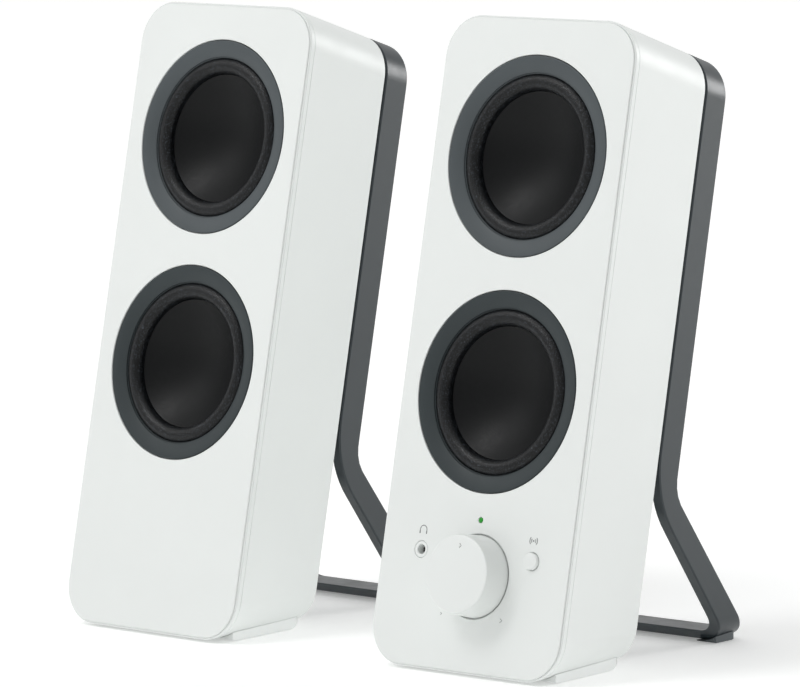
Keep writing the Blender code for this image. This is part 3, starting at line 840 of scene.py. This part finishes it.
def makeButton():
    k = pairingKey
    front, back = k["flangeFront"], k["flangeBack"]
    profile = softened([
        (0.0, -k["reach"], 0.0), (k["radius"], -k["reach"], k["round"]), (k["radius"], front, 0.0),
        (k["flange"], front, 0.0), (k["flange"], back, 0.0), (0.0, back, 0.0),
    ])
    controlPiece("pairingKey", spun(profile, k["steps"]), k["spot"], "pairing_button",
                 whitePlastic, ["pairing_button"])


marks = {
    "height": 0.00006,
    "bed": 0.00002,
    "line": 0.00032,
    "phones": (-0.0264, 0.0512),
    "bandHalf": 0.0016,
    "bandFoot": -0.0009,
    "bandSpring": -0.0001,
    "cupMiddle": -0.0010,
    "cupWidth": 0.75,  # half a cup's width in widths of the line
    "cupHalfHeight": 0.00060,
    "cupCorner": 0.9,
    "waves": (0.0269, 0.0517),
    "dot": 0.00036,
    "waveRadii": (0.0010, 0.0018),
    "waveHalfAngle": 42,
    "arrows": {"least": (-0.0128, 0.0211), "most": (0.0162, 0.0213)},
    "arrowSizes": {"least": 0.0006, "most": 0.0010},
    "arrowReach": 0.5,
    "arrowSpread": 0.7,
    "arrowLine": 0.7,
}


def earCup(x):
    m = marks
    half, tall = m["line"] * m["cupWidth"], m["cupHalfHeight"]
    outline = roundedBox(half, -tall, tall, half * m["cupCorner"], steps=4)
    return [(x + a, m["cupMiddle"] + b) for a, b in outline]


def makeMarks():  # printed signs: headphones, radio waves for pairing, quiet and loud
    m = marks
    front, back = -m["height"], m["bed"]
    half, foot, spring = m["bandHalf"], m["bandFoot"], m["bandSpring"]
    band = [(-half, foot), (-half, spring)] + arcPoints((0.0, spring), half, 180, 0, 20)[1:] + [(half, foot)]
    sign = [stroke(band, m["line"], front, back)] + [slab(earCup(x), front, back) for x in (-half, half)]
    controlPiece("phonesMark", joined(sign), m["phones"], "right_speaker", printInk)
    waves = [slab(arcPoints((0.0, 0.0), m["dot"], 0, 330, 11), front, back)]
    for middle in (0, 180):
        low, high = middle - m["waveHalfAngle"], middle + m["waveHalfAngle"]
        for radius in m["waveRadii"]:
            waves.append(stroke(arcPoints((0.0, 0.0), radius, low, high, 12), m["line"], front, back))
    controlPiece("pairingMark", joined(waves), m["waves"], "right_speaker", printInk)
    for name, spot in m["arrows"].items():
        size = m["arrowSizes"][name]
        reach, tall = size * m["arrowReach"], size * m["arrowSpread"]
        tip = [(-reach, tall), (reach, 0.0), (-reach, -tall)]
        arrow = stroke(tip, m["line"] * m["arrowLine"], front, back)
        controlPiece(name + "Mark", arrow, spot, "right_speaker", printInk)


sockets = {
    "cutStart": 0.006,
    "cutEnd": 0.004,
    "steps": 64,
    "innerEnd": 0.0109,  # behind the outer face, like the two below
    "panelInner": 0.0024,
    "outerRound": 0.0002,
    "lead": 0.0004,
    "leadShare": 0.45,
    "boreEnd": 0.0400,
}
audioSocket = {
    "spots": [(-0.0140, 0.0660), (0.0, 0.0660)],
    "barrel": 0.0031,
    "bore": 0.00185,
    "shoulder": 0.0042,
    "reach": 0.0009,
    "ringInner": 0.0020,
    "ringOuter": 0.0029,
    "ringFoot": 0.0010,
    "ringTop": 0.0013,
    "ringRound": 0.0001,
}
speakerSocket = {
    "spot": (0.0140, 0.0640),
    "barrel": 0.0043,
    "bore": 0.0016,
    "shoulder": 0.0055,
    "reach": 0.0050,
    "boreEnd": 0.0460,
    "pinRadius": 0.0006,
    "pinReach": 0.0042,
    "pinTip": 0.0044,
    "pinSteps": 24,
}
powerSocket = {
    "spot": (0.0, 0.0400),
    "barrel": 0.0050,
    "bore": 0.0031,
    "shoulder": 0.0062,
    "reach": 0.0006,
    "pinRadius": 0.0010,
    "pinSunk": 0.0010,
    "pinRound": 0.0004,
}


def makeRearPlate(side):
    p, gap, back = rearPlate, cabinet["gap"], cabinet["depth"]
    outline = roundedBox(p["halfWidth"] - gap, p["low"] + gap, p["high"] - gap, p["corner"] - gap,
                         steps=p["cornerSteps"])
    plate = asObject("socketPlate_" + side, slab(outline, back - p["thickness"], back), leaningFrame(side))
    if side == "right":
        holes = [(*spot, audioSocket["barrel"]) for spot in audioSocket["spots"]]
        holes += [(*socket["spot"], socket["barrel"]) for socket in (speakerSocket, powerSocket)]
    else:
        holes = [(*powerSocket["spot"], speakerSocket["barrel"])]
    start, end = back - sockets["cutStart"], back + sockets["cutEnd"]
    carve(plate, joined([plug(x, z, barrel + gap, start, end, sockets["steps"]) for x, z, barrel in holes]))
    roundEdges(plate, p["rounding"])
    finished(plate, side + "_speaker", greyPlastic, ["rear_panel_" + side])


def socketProfile(socket, boreEnd):
    s = sockets
    barrel, bore, shoulder = socket["barrel"], socket["bore"], socket["shoulder"]
    outerEnd = cabinet["depth"] + socket["reach"]
    innerEnd, panelInner = cabinet["depth"] - s["innerEnd"], cabinet["depth"] - s["panelInner"]
    lead = min(s["lead"], (barrel - bore) * s["leadShare"])
    return softened([
        (0.0, innerEnd, 0.0), (shoulder, innerEnd, 0.0), (shoulder, panelInner, 0.0),
        (barrel, panelInner, 0.0), (barrel, outerEnd, s["outerRound"]), (bore, outerEnd, lead),
        (bore, boreEnd, 0.0), (0.0, boreEnd, 0.0),
    ])


def rearPiece(name, bm, side, spot, material, replaces=()):
    piece = asObject(name, moved(bm, x=spot[0], z=spot[1]), leaningFrame(side))
    finished(piece, side + "_speaker", material, replaces)


def makeSpeakerSocket(name, side, spot, node):  # socket with a long barrel, for the link between the two
    s = speakerSocket
    depth = cabinet["depth"]
    shape = spun(socketProfile(s, s["boreEnd"]), sockets["steps"])
    rearPiece(name, shape, side, spot, brightZinc, [node])
    pin = [(0.0, s["boreEnd"]), (s["pinRadius"], s["boreEnd"]), (s["pinRadius"], depth + s["pinReach"]),
           (0.0, depth + s["pinTip"])]
    rearPiece(name + "Pin", spun(pin, s["pinSteps"]), side, spot, copperWire)


def makeAudioSocket(number, spot):
    a = audioSocket
    depth, steps = cabinet["depth"], sockets["steps"]
    shape = spun(socketProfile(a, sockets["boreEnd"]), steps)
    rearPiece("auxSocket%d" % number, shape, "right", spot, blackPlastic,
              ["audio_input_%d" % number])
    foot, top = depth + a["ringFoot"], depth + a["ringTop"]
    collar = softened([(a["ringInner"], foot, 0.0), (a["ringInner"], top, a["ringRound"]),
                       (a["ringOuter"], top, a["ringRound"]), (a["ringOuter"], foot, 0.0)], closed=True)
    rearPiece("auxSocketRing%d" % number, spun(collar, steps, True), "right", spot, brightZinc)


def makeSockets():
    for number, spot in enumerate(audioSocket["spots"], 1):
        makeAudioSocket(number, spot)
    makeSpeakerSocket("leftSpeakerSocket", "right", speakerSocket["spot"], "speaker_output")
    p, boreEnd = powerSocket, sockets["boreEnd"]
    radius, pinEnd = p["pinRadius"], cabinet["depth"] - p["pinSunk"]
    pin = softened([(radius, boreEnd, 0.0), (radius, pinEnd, p["pinRound"]), (0.0, pinEnd, 0.0)])
    shape = spun(socketProfile(p, boreEnd)[:-1] + pin, sockets["steps"])
    rearPiece("powerSocket", shape, "right", p["spot"], blackPlastic, ["power_inlet"])
    makeSpeakerSocket("linkSocket", "left", p["spot"], "speaker_input")


stand = {
    "wall": 0.0048,
    "frontDepth": 0.0487,
    "rearDepth": 0.0621,
    "footFront": 0.1133,
    "footRear": 0.1280,
    "legFrontSlope": 0.800,
    "legRearSlope": 0.825,
    "frontBend": 0.036,
    "rearBend": 0.013,
    "bendTop": 0.0940,
    "crossbarHeight": 0.0038,
    "crossbarLift": 0.0006,
    "lowCornerReach": 0.0125,
    "lowCornerRise": 0.0105,
    "lowCornerStep": 6,  # degrees
    "legSteps": 60,
    "edgeRound": 0.0006,
}
web = {
    "bottom": 0.1020,
    "thickness": 0.0025,
    "lowCorner": 0.0040,
    "rounding": 0.0004,
    "screwSpot": (0.0, 0.1900),
    "bossRadius": 0.0062,
    "bossHeight": 0.0009,
    "bossRoot": 0.0005,
    "seatRadius": 0.0044,
    "seatDepth": 0.0002,
    "cutEnd": 0.004,
    "screwRadius": 0.0040,
    "screwHeight": 0.0025,
    "crossDepth": 0.0012,
    "screwSunk": 0.0001,
    "steps": 64,
}


def level(x, depth, height):  # a point of the leaning frame, seen level
    return Vector((x, height * sin(lean) + depth * cos(lean),
                   pair["frontLift"] + height * cos(lean) - depth * sin(lean)))


def leaningDepth(y, z):
    return y * cos(lean) - (z - pair["frontLift"]) * sin(lean)


def bentProfile(depth, foot, slope, bend, steps):  # side view of one face: leg, bend, then up the back
    top = level(0.0, depth, cabinet["height"] - cabinet["sideDraft"] * depth)
    rise = tan(lean)
    baseY = top.y - top.z * rise
    cornerZ = (foot - baseY) / (rise + slope)
    corner = Vector((baseY + cornerZ * rise, cornerZ))
    up = Vector((sin(lean), cos(lean)))
    down = Vector((slope, -1.0)).normalized()
    half = (pi - up.angle(down)) / 2
    start = corner + down * (bend * tan(half))
    centre = corner + (up + down).normalized() * (bend / cos(half))
    first = start - centre
    turn = -2 * half if first.cross(up) < 0 else 2 * half
    points = [Vector((foot, 0.0)), start]
    for i in range(1, steps + 1):
        swung = first.copy()
        swung.rotate(Matrix.Rotation(turn * i / steps, 2))
        points.append(centre + swung)
    points.append(Vector((top.y, top.z)))
    return points


def yAt(profile, z):
    for low, high in zip(profile, profile[1:]):
        if z <= high.y:
            break
    return low.x + (high.x - low.x) * (z - low.y) / (high.y - low.y)


def loopOutline(inset, floor, rise, ceiling):  # right half of the loop, seen from the front
    s = stand
    edge = cabinet["width"] / 2 - inset
    reach = s["lowCornerReach"] - inset
    radius = cabinet["cornerRadius"] - inset
    turns = [radians(a) for a in range(0, 91, s["lowCornerStep"])]
    points = [(0.0, floor)]
    points += [(edge - reach + reach * sin(a), floor + rise * (1 - cos(a))) for a in turns]
    bottom, straight, steps = points[-1][1], ceiling - radius, s["legSteps"]
    points += [(edge, bottom + (straight - bottom) * i / steps) for i in range(1, steps)]
    points += arcPoints((edge - radius, straight), radius, 0, 90, cabinet["cornerSteps"])
    points.append((0.0, ceiling))
    return points


def makeLoop(side):
    s = stand
    front = bentProfile(s["frontDepth"], s["footFront"], s["legFrontSlope"], s["frontBend"], 24)
    rear = bentProfile(s["rearDepth"], s["footRear"], s["legRearSlope"], s["rearBend"], 18)
    top = front[-1].y
    topDrop = top - rear[-1].y

    def place(point, profile, drop):  # the back face ends lower than the front one
        x, z = point
        height = z - drop * max(0.0, (z - s["bendTop"]) / (top - s["bendTop"]))
        y = yAt(profile, height)
        return Vector((max(0.0, x - cabinet["sideDraft"] * leaningDepth(y, height)), y, height))

    bar = s["crossbarHeight"]
    outer = loopOutline(0.0, s["crossbarLift"], s["lowCornerRise"], top)
    inner = loopOutline(s["wall"], s["crossbarLift"] + bar, s["lowCornerRise"] - bar, top - s["wall"])
    rings = [[place(a, front, 0.0), place(a, rear, topDrop), place(b, rear, topDrop), place(b, front, 0.0)]
             for a, b in zip(outer, inner)]
    rings += [[Vector((-p.x, p.y, p.z)) for p in ring] for ring in reversed(rings[1:-1])]
    loop = asObject("standLoop_" + side, lofted(rings, closed=True), standingFrame(side))
    roundEdges(loop, s["edgeRound"], 3, 50.0)
    finished(loop, side + "_speaker", standPlastic, ["stand_" + side], sharp=60.0)


def makeWeb(side):  # plate across the loop's upper half, screwed to the cabinet
    w = web
    middle = stand["wall"] / 2
    front = stand["frontDepth"] + cabinet["gap"]
    back = front + w["thickness"]
    narrowing = cabinet["sideDraft"] * stand["frontDepth"] + middle
    outline = roundedBox(cabinet["width"] / 2 - narrowing, w["bottom"], cabinet["height"] - narrowing,
                         cabinet["cornerRadius"] - middle, w["lowCorner"])
    plate = asObject("standWeb_" + side, slab(outline, front, back), leaningFrame(side))
    boss = plug(*w["screwSpot"], w["bossRadius"], back - w["bossRoot"], back + w["bossHeight"], w["steps"])
    carve(plate, boss, "UNION")
    seat = plug(*w["screwSpot"], w["seatRadius"], back - w["seatDepth"], back + w["cutEnd"], w["steps"])
    carve(plate, seat)
    roundEdges(plate, w["rounding"])
    finished(plate, side + "_speaker", standPlastic)
    shape = crossHead(w["screwRadius"], w["screwHeight"], w["crossDepth"])
    x, z = w["screwSpot"]
    head = asObject("standScrew_" + side, moved(shape, x, back - w["screwSunk"], z), leaningFrame(side))
    finished(head, side + "_speaker", platedSteel, ["stand_screw_" + side])


feet = {
    "clear": 0.0001,
    "leastHeight": 0.0003,
    "steps": 10,
    "rounding": 0.00025,
}
strip = {
    "front": 0.0086,
    "rear": 0.0456,
    "outer": 0.0387,
    "narrowing": 0.0015,
    "width": 0.0074,
    "tipLift": 0.0004,
    "tipShare": 14,  # the front fourteenth of the strip rises off the desk
    "endRadius": 0.0032,
    "endLift": 0.0026,
    "endAngles": (25, 50, 75, 90),
    "steps": 12,
}
pad = {
    "outer": 0.0318,
    "width": 0.0095,
    "stations": [  # from the foot's front or rear, how far along, lift, narrower by
        ("footFront", -0.0026, 0.0003, 0.0),
        ("footFront", -0.0020, 0.0, 0.0),
        ("footRear", -0.0072, 0.0, 0.0),
        ("footRear", -0.0062, 0.0001, 0.0002),
        ("footRear", -0.0056, 0.0004, 0.0008),
    ],
}


def cabinetUnderside(x, y):  # height of the case's underside above the desk
    depth = y / cos(lean)
    radius = cabinet["cornerRadius"] - cabinet["lowCornerTaper"] * depth
    over = max(0.0, x - (cabinet["width"] / 2 - cabinet["sideDraft"] * depth - radius))
    height = cabinet["bottomRise"] * depth + radius - sqrt(radius ** 2 - over ** 2)
    depth = (y - height * sin(lean)) / cos(lean)
    return level(0.0, depth, height + cabinet["bottomRise"] * (depth - y / cos(lean))).z


def loopUnderside(x, y):
    s = stand
    middleZ = 0.002  # about half way up the crossbar
    draft = cabinet["sideDraft"] * leaningDepth(y, middleZ)
    over = max(0.0, x + draft - (cabinet["width"] / 2 - s["lowCornerReach"]))
    return s["crossbarLift"] + s["lowCornerRise"] * (1 - sqrt(1 - (over / s["lowCornerReach"]) ** 2))


def footRing(outer, width, y, lift, sign, ceiling):
    f = feet
    xs = [outer - width * i / f["steps"] for i in range(f["steps"] + 1)]
    ring = [(xs[-1], lift), (xs[0], lift)]
    ring += [(x, max(ceiling(x, y) - f["clear"], lift + f["leastHeight"])) for x in xs]
    return [(sign * x, y, z) for x, z in ring]


def makeFoot(name, side, sign, stations, width, ceiling, node, material):
    rings = [footRing(outer, width, y, lift, sign, ceiling) for y, lift, outer in stations]
    foot = asObject(name, lofted(rings), standingFrame(side))
    roundEdges(foot, feet["rounding"], 2, 50.0)
    finished(foot, side + "_speaker", material, [node])


def stripStations():
    t = strip
    straight = t["rear"] - t["front"] - t["endRadius"]
    stations = []
    for i in range(t["steps"] + 1):
        share = i / t["steps"]
        lift = t["tipLift"] * max(0.0, 1 - share * t["tipShare"])
        stations.append((t["front"] + straight * share, lift, t["outer"] - t["narrowing"] * share))
    for a in [radians(angle) for angle in t["endAngles"]]:
        stations.append((t["rear"] - t["endRadius"] * (1 - sin(a)), t["endLift"] * (1 - cos(a)),
                         t["outer"] - t["narrowing"]))
    return stations


def padStations():
    return [(stand[end] + along, lift, pad["outer"] - narrower)
            for end, along, lift, narrower in pad["stations"]]


def makeFeet(side):
    for hand, sign in (("left", -1), ("right", 1)):
        tail = "%s_%s" % (side, hand)
        makeFoot("strip_" + tail, side, sign, stripStations(), strip["width"], cabinetUnderside,
                 "foot_strip_" + tail, footRubberPaintedLight)
        makeFoot("pad_" + tail, side, sign, padStations(), pad["width"], loopUnderside,
                 "rear_pad_" + tail, padRubberPaintedLight)


for side in pair["sides"]:
    makeFace(side)
    makeBaffle(side)
    makeCase(side)
    makeRearPlate(side)
    makeScrews(side)
    for kind, ringNode in (("driver", "upper_bezel_"), ("radiator", "lower_bezel_")):
        makeRing(side, kind, ringNode + side)
        makeSurround(side, kind)
        makeCone(side, kind)
    makeLoop(side)
    makeWeb(side)
    makeFeet(side)
    print("built the", side, "speaker")
makeKnob()
makeLamp()
makeJack()
makeButton()
makeMarks()
makeSockets()
print("controls and sockets made")


studio = {
    "floorColour": (0.90, 0.905, 0.90),
    "floorSize": 12.0,
    "floorDrop": 0.0002,
    "floorCloud": 0.6,
    "glowNear": 0.26,
    "glowFar": 0.47,
    "glowFrom": 0.6,
    "glowTo": 2.0,
    "skyLeft": 0.82,
    "skyRight": 0.42,
    "aim": (0.0, 0.0, 0.12),
    "distance": 2.4,
    "lights": [  # turned from the front, raised, how wide, how strong
        ("keyLeft", -32, 54, 0.9, 12.6),
        ("fillLeft", -50, 34, 1.2, 4.2),
        ("overhead", -10, 78, 1.4, 3.4),
        ("rimRight", 152, 15, 1.0, 20.5),
    ],
}


def makeFloor():  # pale, and glowing a little more away from the speakers
    half = studio["floorSize"] / 2
    corners = [(-half, -half), (half, -half), (half, half), (-half, half)]
    bm = bmesh.new()
    bm.faces.new([bm.verts.new((x, y, 0.0)) for x, y in corners])
    floor = asObject("floor", bm, Matrix.Translation((0.0, 0.0, -studio["floorDrop"])))
    material, shader, place = startMaterial("paleFloor")
    links = material.node_tree.links
    clouds = noiseOver(material, place, studio["floorCloud"], 3.0)
    colour = studio["floorColour"]
    links.new(tinted(material, clouds, shaded(colour, 0.995), colour), shader.inputs["Base Color"])
    shader.inputs["Roughness"].default_value = 0.85
    shader.inputs["Specular IOR Level"].default_value = 0.1
    shader.inputs["Emission Color"].default_value = (*colour, 1.0)
    reach = material.node_tree.nodes.new("ShaderNodeVectorMath")
    reach.operation = "LENGTH"
    links.new(place, reach.inputs[0])
    glow = spread(material, reach.outputs["Value"], studio["glowNear"], studio["glowFar"], studio["glowFrom"],
                  studio["glowTo"])
    links.new(glow, shader.inputs["Emission Strength"])
    floor.data.materials.append(material)


def makeSky():  # dimmer towards the right
    world = bpy.data.worlds.new("studioSky")
    bpy.context.scene.world = world
    world.use_nodes = True
    nodes, links = world.node_tree.nodes, world.node_tree.links
    place = nodes.new("ShaderNodeTexCoord")
    split = nodes.new("ShaderNodeSeparateXYZ")
    ranged = nodes.new("ShaderNodeMapRange")
    ranged.inputs["From Min"].default_value = -1.0
    ranged.inputs["To Min"].default_value = studio["skyLeft"]
    ranged.inputs["To Max"].default_value = studio["skyRight"]
    links.new(place.outputs["Generated"], split.inputs["Vector"])
    links.new(split.outputs["X"], ranged.inputs["Value"])
    links.new(ranged.outputs["Result"], nodes["Background"].inputs["Strength"])
    nodes["Background"].inputs["Color"].default_value = (1.0, 1.0, 1.0, 1.0)


def makeLights():
    for name, turn, rise, size, power in studio["lights"]:
        around, up = radians(turn), radians(rise)
        outward = Vector((sin(around) * cos(up), -cos(around) * cos(up), sin(up)))
        data = bpy.data.lights.new(name, "AREA")
        data.shape = "DISK"
        data.size = size
        data.energy = power
        light = bpy.data.objects.new(name, data)
        light.location = Vector(studio["aim"]) + outward * studio["distance"]
        light.rotation_euler = outward.to_track_quat("Z", "Y").to_euler()
        bpy.context.scene.collection.objects.link(light)


camera = {
    "from": (1.53204, -1.72865, 0.39610),
    "aim": (1.4482, 0.0156, 0.7239),
    "lens": 274.8,
    "sensor": 36.0,
    "nearest": 0.05,
}


def makeCamera():
    data = bpy.data.cameras.new("camera")
    data.sensor_width = camera["sensor"]
    data.lens = camera["lens"]
    data.clip_start = camera["nearest"]
    thing = bpy.data.objects.new("camera", data)
    thing.location = camera["from"]
    thing.rotation_euler = camera["aim"]
    bpy.context.scene.collection.objects.link(thing)
    bpy.context.scene.camera = thing


makeFloor()
makeSky()
makeLights()
makeCamera()
bpy.context.scene.view_settings.view_transform = "Standard"
bpy.context.scene.view_settings.look = "None"
print("studio ready")
